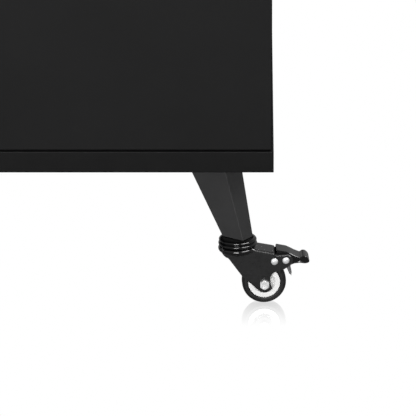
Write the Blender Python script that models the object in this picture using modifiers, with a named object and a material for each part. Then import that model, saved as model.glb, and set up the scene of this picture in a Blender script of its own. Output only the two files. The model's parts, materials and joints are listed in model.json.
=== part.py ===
"""Rolling lectern podium on four splayed legs with swivel casters.

Metres, +Z up. The origin is on the floor under the middle of the base.
The flat front faces -Y, and the speaker stands at +Y, where the shelves are open.
"""

import math

import bmesh
import bpy
from mathutils import Matrix, Vector

GAP = 0.0003

# Cabinet
CABINET_WIDTH = 0.610
CABINET_DEPTH = 0.556
OVERALL_HEIGHT = 1.143
BASE_OVERHANG = 0.002
BASE_THICKNESS = 0.025
PANEL_THICKNESS = 0.018
PANEL_BEVEL = 0.0008
FRONT_SHADOW_GAP = 0.0012

# Desk
DESK_SIDE_OVERHANG = 0.015
DESK_REAR_INSET = 0.0268
DESK_THICKNESS = 0.018
DESK_SLOPE = math.radians(14)
BOOK_STOP_THICKNESS = 0.015
BOOK_STOP_RISE = 0.020

# Shelves
FIXED_SHELF_BELOW_TOP = 0.283
SHELF_THICKNESS = 0.018
SHELF_SETBACK = 0.012
PIN_RADIUS = 0.0025
PIN_LENGTH = 0.016
PIN_DEPTH = 0.008
PIN_INSET = 0.055
PIN_ROWS = 5
PIN_ROW_PITCH = 0.064
FIRST_PIN_ROW = 0.200
SHELF_ROW = 2

# Legs
LEG_HEIGHT = 0.0875
LEG_FOOT = (0.0285, 0.0198)
LEG_HEAD = (0.0556, 0.0333)
LEG_SPLAY = 0.0299
LEG_TURN = math.radians(35)
LEG_WALL = 0.0025
LEG_PLATE_SIZE = 0.082
LEG_PLATE_THICKNESS = 0.003

# Caster
WHEEL_RADIUS = 0.025
TRAIL = 0.0297
SWIVEL_INSET = 0.0405
SWIVEL_TOE = math.radians(3)
TREAD_HALF_WIDTH = 0.009
TREAD_DEPTH = 0.0067
TREAD_SHOULDER = 0.0036
HUB_RADIUS = 0.0082
SLEEVE_WALL = 0.0014
AXLE_RADIUS = 0.003
AXLE_HEAD_ACROSS_FLATS = 0.010
AXLE_HEAD_THICKNESS = 0.004
AXLE_NUT_THICKNESS = 0.005
AXLE_END = 0.0015
FORK_HALF_WIDTH = 0.0142
FORK_WALL = 0.002
FORK_TOP_THICKNESS = 0.0022
FORK_HEAD_RADIUS = 0.0222
FORK_HEAD_EDGE = 0.006
FORK_HEAD_DEPTH = 0.015
FORK_HEAD_ABOVE_WHEEL = 0.0188
FORK_AXLE_BOSS = 0.0100
RACE_RADIUS = 0.0220
RACE_HEIGHT = 0.009
RACE_RECESS = 0.0032
BALL_RING_INNER = 0.0120
BALL_RING_OUTER = 0.0178
KINGPIN_RADIUS = 0.004
KINGPIN_HEAD_RADIUS = 0.0078
KINGPIN_HEAD_HEIGHT = 0.0016
STEM_RADIUS = 0.004
STEM_LENGTH = 0.022

# Brake
RIVET_RADIUS = 0.0018
RIVET_HEAD_RADIUS = 0.0040
RIVET_HEAD_HEIGHT = 0.0016
RIVET_SPACING = 0.0130
STOP_RIVET_RISE = 0.0009
PEDAL_SIDE_CLEARANCE = 0.001
PEDAL_TRAVEL = math.radians(10)
SPRING_HALF_WIDTH = 0.003

# Places that follow from the sizes above
AXLE = (TRAIL, WHEEL_RADIUS)
AXLE_SPOT = (TRAIL, 0, WHEEL_RADIUS)
FORK_HEAD_TOP = 2 * WHEEL_RADIUS + FORK_HEAD_ABOVE_WHEEL
FORK_INSIDE = FORK_HALF_WIDTH - FORK_WALL
PIVOT_RIVET = (TRAIL + WHEEL_RADIUS - 0.0137, 2 * WHEEL_RADIUS + 0.0022)
STOP_RIVET = (PIVOT_RIVET[0] + RIVET_SPACING, PIVOT_RIVET[1] + STOP_RIVET_RISE)
SLEEVE_RADIUS = AXLE_RADIUS + GAP + SLEEVE_WALL
RACE_BOTTOM = FORK_HEAD_TOP + GAP
LEG_BOTTOM = RACE_BOTTOM + RACE_HEIGHT + GAP
LEG_TOP = LEG_BOTTOM + LEG_HEIGHT
BASE_BOTTOM = LEG_TOP + GAP + LEG_PLATE_THICKNESS + GAP
BASE_TOP = BASE_BOTTOM + BASE_THICKNESS
BASE_HALF_X = CABINET_WIDTH / 2 + BASE_OVERHANG
BASE_HALF_Y = CABINET_DEPTH / 2 + BASE_OVERHANG
FRONT_INNER_Y = -CABINET_DEPTH / 2 + PANEL_THICKNESS
SIDE_INNER_X = CABINET_WIDTH / 2 - PANEL_THICKNESS
DESK_START_Y = -BASE_HALF_Y + DESK_THICKNESS * math.sin(DESK_SLOPE)
DESK_LENGTH = (BASE_HALF_Y - DESK_REAR_INSET - DESK_START_Y) / math.cos(DESK_SLOPE)
SWIVEL_X = BASE_HALF_X - SWIVEL_INSET
SWIVEL_Y = BASE_HALF_Y - SWIVEL_INSET
SHELF_PIN_Z = BASE_TOP + FIRST_PIN_ROW + SHELF_ROW * PIN_ROW_PITCH
CORNERS = {
    "front_left": (-1, -1),
    "front_right": (1, -1),
    "rear_left": (-1, 1),
    "rear_right": (1, 1),
}
LOCKING = ("front_left", "front_right")

for old in list(bpy.data.objects):
    bpy.data.objects.remove(old, do_unlink=True)

parts = bpy.data.collections.new("lectern_podium")
cutters = bpy.data.collections.new("cutters")
bpy.context.scene.collection.children.link(parts)
bpy.context.scene.collection.children.link(cutters)


def material(name, color, roughness, metallic=0.0):
    made = bpy.data.materials.new(name)
    made.use_nodes = True
    shader = made.node_tree.nodes["Principled BSDF"]
    shader.inputs["Base Color"].default_value = (*color, 1)
    shader.inputs["Roughness"].default_value = roughness
    shader.inputs["Metallic"].default_value = metallic
    return made


MATERIALS = {
    "black_board": material("black_board", (0.018, 0.018, 0.018), 0.6),
    "black_steel": material("black_steel", (0.030, 0.030, 0.030), 0.5, 0.2),
    "gloss_black_steel": material("gloss_black_steel", (0.012, 0.012, 0.012), 0.15, 0.3),
    "pedal_black": material("pedal_black", (0.055, 0.055, 0.055), 0.35),
    "zinc_steel": material("zinc_steel", (0.75, 0.75, 0.75), 0.25, 1.0),
    "white_plastic": material("white_plastic", (0.85, 0.85, 0.85), 0.45),
    "black_tread": material("black_tread", (0.022, 0.022, 0.022), 0.5),
}


def put(obj, name, collection, paint=None, parent=None):
    """Name an object, move it to a collection, and give it a material and a parent."""
    obj.name = name
    obj.data.name = name
    for old_home in list(obj.users_collection):
        old_home.objects.unlink(obj)
    collection.objects.link(obj)
    if paint:
        obj.data.materials.clear()
        obj.data.materials.append(MATERIALS[paint])
    if collection is cutters:
        obj.hide_render = True
        obj.display_type = "WIRE"
    if parent:
        obj.parent = parent
    return obj


def box(low, high):
    """An axis-aligned box between two corners."""
    middle = (Vector(low) + Vector(high)) / 2
    bpy.ops.mesh.primitive_cube_add(size=1, location=middle)
    made = bpy.context.object
    made.scale = Vector(high) - Vector(low)
    bpy.ops.object.transform_apply(location=True, rotation=False, scale=True)
    return made


def outline(points, low, high):
    """A flat outline in the XZ plane, extruded along Y from low to high."""
    curve = bpy.data.curves.new("outline", "CURVE")
    curve.dimensions = "2D"
    curve.fill_mode = "BOTH"
    curve.extrude = (high - low) / 2
    spline = curve.splines.new("POLY")
    spline.points.add(len(points) - 1)
    for point, (x, z) in zip(spline.points, points):
        point.co = (x, z, 0, 1)
    spline.use_cyclic_u = True
    drawn = bpy.data.objects.new("outline", curve)
    cutters.objects.link(drawn)
    drawn.location.y = (low + high) / 2
    drawn.rotation_euler.x = math.pi / 2
    return as_mesh(drawn)


def as_mesh(drawn):
    """Replace a curve object by a closed mesh object, with its place in the mesh."""
    bpy.context.view_layer.update()
    shape = drawn.evaluated_get(bpy.context.evaluated_depsgraph_get())
    mesh = bpy.data.meshes.new_from_object(shape)
    mesh.transform(drawn.matrix_world)
    cleaner = bmesh.new()
    cleaner.from_mesh(mesh)
    bmesh.ops.remove_doubles(cleaner, verts=cleaner.verts, dist=0.000005)
    bmesh.ops.recalc_face_normals(cleaner, faces=cleaner.faces)
    cleaner.to_mesh(mesh)
    cleaner.free()
    made = bpy.data.objects.new("outline", mesh)
    cutters.objects.link(made)
    bpy.data.objects.remove(drawn, do_unlink=True)
    return made


def turned(profile, steps, closed=False):
    """A profile of (radius, height) points turned about Z, its outer side running down."""
    mesh = bpy.data.meshes.new("profile")
    edges = [(i, i + 1) for i in range(len(profile) - 1)]
    if closed:
        edges.append((len(profile) - 1, 0))
    mesh.from_pydata([(radius, 0, z) for radius, z in profile], edges, [])
    made = bpy.data.objects.new("turned", mesh)
    cutters.objects.link(made)
    screw = made.modifiers.new("turn", "SCREW")
    screw.steps = steps
    screw.render_steps = steps
    screw.use_merge_vertices = True
    screw.merge_threshold = 0.00001
    screw.use_smooth_shade = True
    return made


def rod(radius, low, high, sides, axis="Z"):
    """A round or prismatic bar along one axis through the origin."""
    bpy.ops.mesh.primitive_cylinder_add(vertices=sides, radius=radius, depth=high - low)
    made = bpy.context.object
    made.data.transform(Matrix.Translation((0, 0, (low + high) / 2)))
    if axis == "X":
        made.data.transform(Matrix.Rotation(math.pi / 2, 4, "Y"))
    if axis == "Y":
        made.data.transform(Matrix.Rotation(-math.pi / 2, 4, "X"))
    smooth(made)
    return made


def smooth(obj):
    obj.data.shade_smooth()
    obj.data.set_sharp_from_angle(angle=math.radians(40))


def shift(obj, x=0.0, y=0.0, z=0.0):
    obj.data.transform(Matrix.Translation((x, y, z)))
    return obj


def combine(target, other, operation):
    """Cut another shape from an object, or join it on."""
    put(other, f"{target.name}_{operation.lower()}", cutters)
    other.parent = target.parent
    step = target.modifiers.new(operation.lower(), "BOOLEAN")
    step.operation = operation
    step.solver = "EXACT"
    step.object = other


def round_edges(obj, width, segments=1):
    edge = obj.modifiers.new("round_edges", "BEVEL")
    edge.width = width
    edge.segments = segments
    edge.limit_method = "ANGLE"


def arc(center, radius, start, end, count):
    """Points along an arc in a plane, angles in degrees."""
    turns = [math.radians(start + (end - start) * i / count) for i in range(count + 1)]
    return [(center[0] + radius * math.cos(t), center[1] + radius * math.sin(t)) for t in turns]


def desk_point(along, above):
    """Y and Z of a point on the desk: distance down the slope, and height over the writing face."""
    y = DESK_START_Y + along * math.cos(DESK_SLOPE) + above * math.sin(DESK_SLOPE)
    z = OVERALL_HEIGHT - along * math.sin(DESK_SLOPE) + above * math.cos(DESK_SLOPE)
    return y, z


def under_desk(y):
    """Height of a panel's top edge, just under the desk, at a given Y."""
    start_y, start_z = desk_point(0, -DESK_THICKNESS)
    return start_z - (y - start_y) * math.tan(DESK_SLOPE) - GAP / math.cos(DESK_SLOPE)


def make_base_board():
    board = box((-BASE_HALF_X, -BASE_HALF_Y, BASE_BOTTOM), (BASE_HALF_X, BASE_HALF_Y, BASE_TOP))
    put(board, "base_board", parts, "black_board")
    round_edges(board, PANEL_BEVEL)


def sloped_panel(name, low_x, high_x, low_y, high_y, bottom):
    """An upright panel whose top edge follows the desk."""
    side = [(low_y, bottom), (high_y, bottom), (high_y, under_desk(high_y)), (low_y, under_desk(low_y))]
    panel = outline(side, -high_x, -low_x)
    panel.data.transform(Matrix.Rotation(math.pi / 2, 4, "Z"))
    put(panel, name, parts, "black_board")
    return panel


def make_front_panel():
    low_y = -CABINET_DEPTH / 2
    panel = sloped_panel(
        "front_panel",
        -CABINET_WIDTH / 2,
        CABINET_WIDTH / 2,
        low_y,
        FRONT_INNER_Y,
        BASE_TOP + FRONT_SHADOW_GAP,
    )
    round_edges(panel, PANEL_BEVEL)


def pin_places():
    """Y of the two columns of shelf pins."""
    return (FRONT_INNER_Y + PIN_INSET, CABINET_DEPTH / 2 - SHELF_SETBACK - PIN_INSET)


def make_side_panels():
    for side, sign in (("left", -1), ("right", 1)):
        near, far = sorted((sign * SIDE_INNER_X, sign * CABINET_WIDTH / 2))
        low_y = FRONT_INNER_Y + GAP
        panel = sloped_panel(f"side_panel_{side}", near, far, low_y, CABINET_DEPTH / 2, BASE_TOP + GAP)
        for y in pin_places():
            for row in range(PIN_ROWS):
                z = BASE_TOP + FIRST_PIN_ROW + row * PIN_ROW_PITCH
                hole = rod(PIN_RADIUS + GAP, -PIN_DEPTH - GAP, PIN_DEPTH + GAP, 12, "X")
                combine(panel, shift(hole, sign * SIDE_INNER_X, y, z), "DIFFERENCE")


def make_shelves():
    half = SIDE_INNER_X - GAP
    front = FRONT_INNER_Y + GAP
    rear = CABINET_DEPTH / 2 - SHELF_SETBACK
    top = SHELF_PIN_Z + PIN_RADIUS + GAP + SHELF_THICKNESS
    heights = {"fixed_shelf": OVERALL_HEIGHT - FIXED_SHELF_BELOW_TOP, "adjustable_shelf": top}
    for name, shelf_top in heights.items():
        board = box((-half, front, shelf_top - SHELF_THICKNESS), (half, rear, shelf_top))
        put(board, name, parts, "black_board")
        round_edges(board, PANEL_BEVEL)


def make_shelf_pins():
    for side, sign in (("left", -1), ("right", 1)):
        for row, y in zip(("front", "rear"), pin_places()):
            start = SIDE_INNER_X + PIN_DEPTH - PIN_LENGTH
            pin = rod(PIN_RADIUS, start, SIDE_INNER_X + PIN_DEPTH, 12, "X")
            if sign < 0:
                pin.data.transform(Matrix.Rotation(math.pi, 4, "Z"))
            put(shift(pin, 0, y, SHELF_PIN_Z), f"shelf_pin_{row}_{side}", parts, "zinc_steel")


def tilted_board(name, half_x, along, above):
    """A board that lies in the desk's slope, between two distances along and above it."""
    low_y, low_z = desk_point(0, 0)
    board = box((-half_x, along[0], above[0]), (half_x, along[1], above[1]))
    board.data.transform(Matrix.Rotation(-DESK_SLOPE, 4, "X"))
    shift(board, 0, low_y, low_z)
    put(board, name, parts, "black_board")
    round_edges(board, PANEL_BEVEL)


def make_desk():
    half_x = CABINET_WIDTH / 2 + DESK_SIDE_OVERHANG
    tilted_board("desk_top", half_x, (0, DESK_LENGTH), (-DESK_THICKNESS, 0))
    stop = (DESK_LENGTH + GAP, DESK_LENGTH + GAP + BOOK_STOP_THICKNESS)
    tilted_board("book_stop", half_x, stop, (-DESK_THICKNESS, BOOK_STOP_RISE))


def taper(sign_x, sign_y, wall, low_z, high_z):
    """A block with the leg's slant and turn, smaller all round by a wall, between two heights."""
    shape = bmesh.new()
    bmesh.ops.create_cube(shape, size=1)
    for vertex in shape.verts:
        z = low_z if vertex.co.z < 0 else high_z
        rise = (z - LEG_BOTTOM) / LEG_HEIGHT
        wide, narrow = (foot + (head - foot) * rise - 2 * wall for foot, head in zip(LEG_FOOT, LEG_HEAD))
        spot = Matrix.Rotation(-LEG_TURN, 2) @ Vector((vertex.co.x * wide, vertex.co.y * narrow))
        x = sign_x * (SWIVEL_X + spot.x - LEG_SPLAY * rise)
        y = sign_y * (SWIVEL_Y - spot.y - LEG_SPLAY * rise)
        vertex.co = (x, y, z)
    if shape.calc_volume(signed=True) < 0:
        bmesh.ops.reverse_faces(shape, faces=shape.faces)
    mesh = bpy.data.meshes.new("taper")
    shape.to_mesh(mesh)
    shape.free()
    made = bpy.data.objects.new("taper", mesh)
    cutters.objects.link(made)
    return made


def make_leg(corner, sign_x, sign_y):
    """A tapered steel tube, wide at the head, with a solid foot that holds the caster's stem."""
    leg = taper(sign_x, sign_y, 0, LEG_BOTTOM, LEG_TOP)
    put(leg, f"leg_{corner}", parts, "black_steel")
    foot_top = LEG_BOTTOM + STEM_LENGTH + LEG_WALL
    combine(leg, taper(sign_x, sign_y, LEG_WALL, foot_top, LEG_TOP + LEG_WALL), "DIFFERENCE")
    socket = rod(STEM_RADIUS + GAP, LEG_BOTTOM - LEG_WALL, LEG_BOTTOM + STEM_LENGTH + GAP, 16)
    combine(leg, shift(socket, sign_x * SWIVEL_X, sign_y * SWIVEL_Y), "DIFFERENCE")


def make_leg_plate(corner, sign_x, sign_y):
    center = Vector((sign_x * (SWIVEL_X - LEG_SPLAY), sign_y * (SWIVEL_Y - LEG_SPLAY), LEG_TOP + GAP))
    reach = Vector((LEG_PLATE_SIZE / 2, LEG_PLATE_SIZE / 2, 0))
    plate = box(center - reach, center + reach + Vector((0, 0, LEG_PLATE_THICKNESS)))
    put(plate, f"leg_plate_{corner}", parts, "black_steel")


def make_caster_mount(corner, swivel):
    """The upper race, its threaded stem, and the kingpin that holds the fork."""
    bottom = RACE_BOTTOM
    top = bottom + RACE_HEIGHT
    head_top = FORK_HEAD_TOP - FORK_TOP_THICKNESS - GAP
    recess = BALL_RING_OUTER + GAP
    profile = [
        (0, LEG_BOTTOM + STEM_LENGTH),
        (STEM_RADIUS, LEG_BOTTOM + STEM_LENGTH),
        (STEM_RADIUS, top),
        (RACE_RADIUS * 0.80, top),
        (RACE_RADIUS * 0.94, top - RACE_HEIGHT * 0.16),
        (RACE_RADIUS, top - RACE_HEIGHT * 0.42),
        (RACE_RADIUS, bottom),
        (recess, bottom),
        (recess, bottom + RACE_RECESS),
        (KINGPIN_RADIUS, bottom + RACE_RECESS),
        (KINGPIN_RADIUS, head_top),
        (KINGPIN_HEAD_RADIUS, head_top),
        (KINGPIN_HEAD_RADIUS, head_top - KINGPIN_HEAD_HEIGHT),
        (0, head_top - KINGPIN_HEAD_HEIGHT),
    ]
    put(turned(profile, 24), f"caster_mount_{corner}", parts, "gloss_black_steel", swivel)


def make_ball_ring(corner, swivel):
    top = FORK_HEAD_TOP + RACE_RECESS
    middle = (RACE_BOTTOM + top) / 2
    center = (BALL_RING_INNER + BALL_RING_OUTER) / 2
    profile = [(BALL_RING_INNER, middle), (center, top), (BALL_RING_OUTER, middle), (center, RACE_BOTTOM)]
    put(turned(profile, 20, closed=True), f"ball_ring_{corner}", parts, "zinc_steel", swivel)


def offset(origin, *steps):
    """Points of an outline, given from a reference point."""
    return [(origin[0] + x, origin[1] + z) for x, z in steps]


def fork_top_end():
    """Where the sloping top of the fork stops, over the pivot rivet."""
    return offset(PIVOT_RIVET, (0.0001, 0.0102))[0]


def cheek_outline(locking):
    """The fork's side view, X along the trail: the head, the axle boss and the brake lobe."""
    rear = -FORK_HEAD_RADIUS + 0.0035
    head = (0, FORK_HEAD_TOP)
    points = offset(head, (rear, 0), (rear, -FORK_HEAD_EDGE), (-0.0142, -0.0108), (-0.0114, -0.0117))
    points += offset(AXLE, (-0.0254, 0.0100))
    points += arc(AXLE, FORK_AXLE_BOSS, 215, 330, 6)
    if locking:
        points += offset(AXLE, (0.0071, -0.0005), (0.0065, 0.0040), (0.0068, 0.0085), (0.0083, 0.0120))
        points += offset(PIVOT_RIVET, (0, -0.0130), (0.0060, -0.0113), (0.0102, -0.0100), (0.0157, -0.0067))
        points += arc(STOP_RIVET, 0.0078, -45, 80, 5)
        points += offset(PIVOT_RIVET, (0.0015, 0.0078))
    else:
        points += offset(AXLE, (0.0088, 0.0040), (0.0098, 0.0280))
    points += [fork_top_end()]
    points += offset(head, (0.0205, -0.0024), (0.0150, 0))
    return points


def channel_outline():
    """The space between the fork's cheeks, under its roof and open above the pedal."""
    roof = FORK_HEAD_TOP - FORK_TOP_THICKNESS
    end_x, end_z = fork_top_end()
    open_x = end_x + GAP
    far = TRAIL + 3 * WHEEL_RADIUS
    rear = -FORK_HEAD_RADIUS * 0.75
    points = [(0.0150, roof), (rear, roof), (rear, 0), (far, 0), (far, FORK_HEAD_TOP)]
    return points + [(open_x, FORK_HEAD_TOP), (open_x, end_z - FORK_TOP_THICKNESS)]


def head_profile(wall):
    """The round head that narrows down into the cheeks, or its hollow when a wall is given."""
    top = FORK_HEAD_TOP - (FORK_TOP_THICKNESS if wall else 0)
    steps = [(FORK_HEAD_RADIUS, 0), (FORK_HEAD_RADIUS, 0.28), (0.9 * FORK_HEAD_RADIUS, 0.5)]
    steps += [(FORK_HALF_WIDTH + 0.0020, 0.78), (FORK_HALF_WIDTH - 0.0005, 1)]
    profile = [(0, top)]
    for radius, share in steps:
        profile.append((radius - wall, min(top, FORK_HEAD_TOP - share * FORK_HEAD_DEPTH)))
    return profile + [(0, FORK_HEAD_TOP - FORK_HEAD_DEPTH)]


def make_fork(corner, swivel):
    locking = corner in LOCKING
    fork = outline(cheek_outline(locking), -FORK_HALF_WIDTH, FORK_HALF_WIDTH)
    put(fork, f"fork_{corner}", parts, "gloss_black_steel", swivel)
    combine(fork, turned(head_profile(0), 28), "UNION")
    combine(fork, outline(channel_outline(), -FORK_INSIDE, FORK_INSIDE), "DIFFERENCE")
    combine(fork, turned(head_profile(FORK_WALL), 28), "DIFFERENCE")
    roof = FORK_HEAD_TOP - FORK_TOP_THICKNESS
    combine(fork, rod(KINGPIN_RADIUS + GAP, roof - FORK_WALL, FORK_HEAD_TOP + FORK_WALL, 16), "DIFFERENCE")
    across = FORK_HALF_WIDTH + FORK_WALL
    holes = [(AXLE, AXLE_RADIUS, 16)]
    if locking:
        holes += [(PIVOT_RIVET, RIVET_RADIUS, 12), (STOP_RIVET, RIVET_RADIUS, 12)]
    for (x, z), radius, sides in holes:
        combine(fork, shift(rod(radius + GAP, -across, across, sides, "Y"), x, 0, z), "DIFFERENCE")


def make_axle(corner, swivel):
    """A hexagon bolt across the fork, its nut, and the sleeve that the wheel turns on."""
    cheek = FORK_HALF_WIDTH + GAP
    hexagon = AXLE_HEAD_ACROSS_FLATS / math.sqrt(3)
    nut_end = cheek + AXLE_NUT_THICKNESS
    bolt = rod(AXLE_RADIUS, -cheek - AXLE_HEAD_THICKNESS / 2, nut_end + AXLE_END, 16, "Y")
    put(shift(bolt, *AXLE_SPOT), f"axle_bolt_{corner}", parts, "zinc_steel", swivel)
    combine(bolt, shift(rod(hexagon, -cheek - AXLE_HEAD_THICKNESS, -cheek, 6, "Y"), *AXLE_SPOT), "UNION")
    nut = shift(rod(hexagon, cheek, nut_end, 6, "Y"), *AXLE_SPOT)
    put(nut, f"axle_nut_{corner}", parts, "zinc_steel", swivel)
    bore = rod(AXLE_RADIUS + GAP, cheek - AXLE_END, nut_end + AXLE_END, 16, "Y")
    combine(nut, shift(bore, *AXLE_SPOT), "DIFFERENCE")
    half = FORK_INSIDE - GAP
    inner = AXLE_RADIUS + GAP
    profile = [(inner, half), (SLEEVE_RADIUS, half), (SLEEVE_RADIUS, -half), (inner, -half)]
    sleeve = turned(profile, 16, closed=True)
    lay_across(sleeve, AXLE)
    put(sleeve, f"axle_sleeve_{corner}", parts, "zinc_steel", swivel)


def lay_across(obj, spot):
    """Turn a shape made about Z so that its axis lies across the fork, at a point in the side view."""
    obj.location = (spot[0], 0, spot[1])
    obj.rotation_euler.x = math.pi / 2


def mirrored(half):
    """A profile whose lower half mirrors the upper one."""
    return half + [(radius, -z) for radius, z in reversed(half)]


def make_wheel(corner, swivel):
    """The white core that turns on the sleeve, and the tread moulded over it."""
    seat = WHEEL_RADIUS - TREAD_DEPTH
    rim = seat - GAP
    face = TREAD_HALF_WIDTH - 0.0006
    web = face - 0.0016
    hub_end = FORK_INSIDE - PEDAL_SIDE_CLEARANCE
    hub = [(SLEEVE_RADIUS + GAP, hub_end), (HUB_RADIUS - 0.0006, hub_end), (HUB_RADIUS, web)]
    core = turned(mirrored(hub + [(rim - 0.0012, web), (rim, face)]), 24, closed=True)
    lay_across(core, AXLE)
    put(core, f"wheel_core_{corner}", parts, "white_plastic", swivel)
    shoulder = [
        (seat, TREAD_HALF_WIDTH - 0.0004),
        (WHEEL_RADIUS - 0.0030, TREAD_HALF_WIDTH),
        (WHEEL_RADIUS - 0.0010, TREAD_HALF_WIDTH - 0.0011),
        (WHEEL_RADIUS, TREAD_HALF_WIDTH - TREAD_SHOULDER),
    ]
    tread = turned(mirrored(shoulder), 36, closed=True)
    lay_across(tread, AXLE)
    put(tread, f"tread_{corner}", parts, "black_tread", swivel)


def make_rivets(corner, swivel):
    face = FORK_HALF_WIDTH + GAP
    half = [
        (0, face + RIVET_HEAD_HEIGHT),
        (RIVET_HEAD_RADIUS * 0.55, face + RIVET_HEAD_HEIGHT * 0.85),
        (RIVET_HEAD_RADIUS, face + RIVET_HEAD_HEIGHT * 0.25),
        (RIVET_HEAD_RADIUS, face),
        (RIVET_RADIUS, face),
    ]
    for name, spot in (("pivot", PIVOT_RIVET), ("stop", STOP_RIVET)):
        rivet = turned(mirrored(half), 12)
        lay_across(rivet, spot)
        put(rivet, f"brake_{name}_rivet_{corner}", parts, "zinc_steel", swivel)


def pedal_outline():
    """Side view of the brake pedal about its pivot: a sloped tread plate that ends in a raised toe."""
    points = [(0.0027, 0.0126), (0.0015, 0.0038)]
    points += arc((0, 0), 0.0036, 150, 300, 5)
    points += [(0.0090, -0.0060), (0.0180, -0.0060), (0.0230, -0.0040), (0.0290, -0.0035)]
    points += [(0.0345, -0.0043), (0.0380, -0.0039), (0.0397, -0.0027), (0.0400, -0.0008)]
    points += [(0.0382, 0.0026), (0.0350, 0.0049), (0.0317, 0.0047), (0.0298, 0.0027)]
    points += [(0.0230, 0.0056), (0.0190, 0.0079), (0.0140, 0.0103)]
    return points


def make_pedal(corner, hinge):
    half = FORK_INSIDE - PEDAL_SIDE_CLEARANCE
    pedal = outline(pedal_outline(), -half, half)
    put(pedal, f"brake_pedal_{corner}", parts, "pedal_black", hinge)
    clear = RIVET_RADIUS + GAP
    across = half + FORK_WALL
    combine(pedal, rod(clear, -across, across, 12, "Y"), "DIFFERENCE")
    combine(pedal, outline(stop_slot(clear + GAP), -across, across), "DIFFERENCE")
    pocket = SPRING_HALF_WIDTH + GAP
    combine(pedal, box((0.0145 - GAP, -pocket, -0.0072), (0.0185 + GAP, pocket, -0.0037 + GAP)), "DIFFERENCE")


def stop_slot(half_width):
    """The curved slot that lets the pedal turn past the stop rivet."""
    radius = math.hypot(RIVET_SPACING, STOP_RIVET_RISE)
    start = math.degrees(math.atan2(STOP_RIVET_RISE, RIVET_SPACING))
    spare = math.degrees(2 * half_width / radius)
    end = start + math.degrees(PEDAL_TRAVEL)
    outer = arc((0, 0), radius + half_width, start - spare, end + spare, 6)
    inner = arc((0, 0), radius - half_width, end + spare, start - spare, 6)
    return outer + inner


def make_brake_spring(corner, hinge):
    """The toothed steel tongue under the pedal that bites on the tread."""
    points = [(0.0185, -0.0037), (0.0145, -0.0037), (0.0145, -0.0112)]
    for tooth in range(3):
        root = (0.0150 + 0.0010 * tooth, -0.0140 - 0.0025 * tooth)
        points += offset(root, (0, 0), (0.0018, -0.0008))
    points += [(0.0196, -0.0219), (0.0202, -0.0172), (0.0190, -0.0112)]
    spring = outline(points, -SPRING_HALF_WIDTH, SPRING_HALF_WIDTH)
    put(spring, f"brake_spring_{corner}", parts, "zinc_steel", hinge)


def empty(name, location, turn, parent=None):
    made = bpy.data.objects.new(name, None)
    made.location = location
    made.rotation_euler.z = turn
    made.parent = parent
    parts.objects.link(made)
    return made


def make_caster(corner, sign_x, sign_y):
    """One caster, toed slightly in: the front ones trail outward, the rear ones inward."""
    turn = -sign_y * SWIVEL_TOE if sign_x * sign_y < 0 else math.pi + sign_y * SWIVEL_TOE
    place = (sign_x * SWIVEL_X, sign_y * SWIVEL_Y, 0)
    swivel = empty(f"swivel_{corner}", place, turn)
    make_caster_mount(corner, swivel)
    make_ball_ring(corner, swivel)
    make_fork(corner, swivel)
    make_axle(corner, swivel)
    make_wheel(corner, swivel)
    if corner in LOCKING:
        hinge = empty(f"pedal_hinge_{corner}", (PIVOT_RIVET[0], 0, PIVOT_RIVET[1]), 0, swivel)
        make_rivets(corner, swivel)
        make_pedal(corner, hinge)
        make_brake_spring(corner, hinge)


make_base_board()
make_front_panel()
make_side_panels()
make_shelves()
make_shelf_pins()
make_desk()
for corner_name, signs in CORNERS.items():
    make_leg(corner_name, *signs)
    make_leg_plate(corner_name, *signs)
    make_caster(corner_name, *signs)
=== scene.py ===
import json
import math

import bmesh
import bpy
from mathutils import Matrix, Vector


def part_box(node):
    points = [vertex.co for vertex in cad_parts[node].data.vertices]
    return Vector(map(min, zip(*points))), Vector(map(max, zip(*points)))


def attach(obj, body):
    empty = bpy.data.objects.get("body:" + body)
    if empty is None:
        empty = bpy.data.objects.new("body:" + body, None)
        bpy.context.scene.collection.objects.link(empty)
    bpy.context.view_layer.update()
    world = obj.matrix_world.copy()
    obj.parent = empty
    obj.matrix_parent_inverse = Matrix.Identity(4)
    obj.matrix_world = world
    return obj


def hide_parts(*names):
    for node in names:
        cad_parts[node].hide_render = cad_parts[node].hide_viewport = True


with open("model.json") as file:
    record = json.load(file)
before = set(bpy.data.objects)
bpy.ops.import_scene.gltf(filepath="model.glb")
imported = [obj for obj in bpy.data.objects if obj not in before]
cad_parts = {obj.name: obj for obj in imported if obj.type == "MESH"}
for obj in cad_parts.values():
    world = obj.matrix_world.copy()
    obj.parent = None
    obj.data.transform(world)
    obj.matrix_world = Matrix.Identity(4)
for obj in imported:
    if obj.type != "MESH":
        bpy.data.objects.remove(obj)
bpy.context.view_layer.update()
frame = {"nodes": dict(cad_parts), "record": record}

bodyOf = {node: body for body, nodes in frame["record"]["behaviour"]["bodies"].items() for node in nodes}
corners = ("front_left", "front_right", "rear_left", "rear_right")
gap = 0.0003  # running clearance between neighbours
print("frame loaded:", len(frame["nodes"]), "nodes")


def clearSelection():
    if bpy.context.object and bpy.context.object.mode != "OBJECT":
        bpy.ops.object.mode_set(mode="OBJECT")
    bpy.ops.object.select_all(action="DESELECT")


def makeActive(piece):
    clearSelection()
    piece.select_set(True)
    bpy.context.view_layer.objects.active = piece


def startEdit(piece, kind):
    makeActive(piece)
    bpy.ops.object.mode_set(mode="EDIT")
    bpy.ops.mesh.select_mode(type=kind)
    bpy.ops.mesh.select_all(action="DESELECT")


def endEdit():
    bpy.ops.object.mode_set(mode="OBJECT")


def pick(piece, kind, test):
    # selects the vertices, edges or faces that pass a test, in edit mode
    shape = bmesh.from_edit_mesh(piece.data)
    for part in getattr(shape, kind):
        if test(part):
            part.select_set(True)
    shape.select_flush_mode()
    bmesh.update_edit_mesh(piece.data)


def applyPlace(piece):
    makeActive(piece)
    bpy.ops.object.transform_apply(location=True, rotation=True, scale=True)


def applyModifier(piece, modifier):
    makeActive(piece)
    bpy.ops.object.modifier_apply(modifier=modifier.name)


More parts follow.
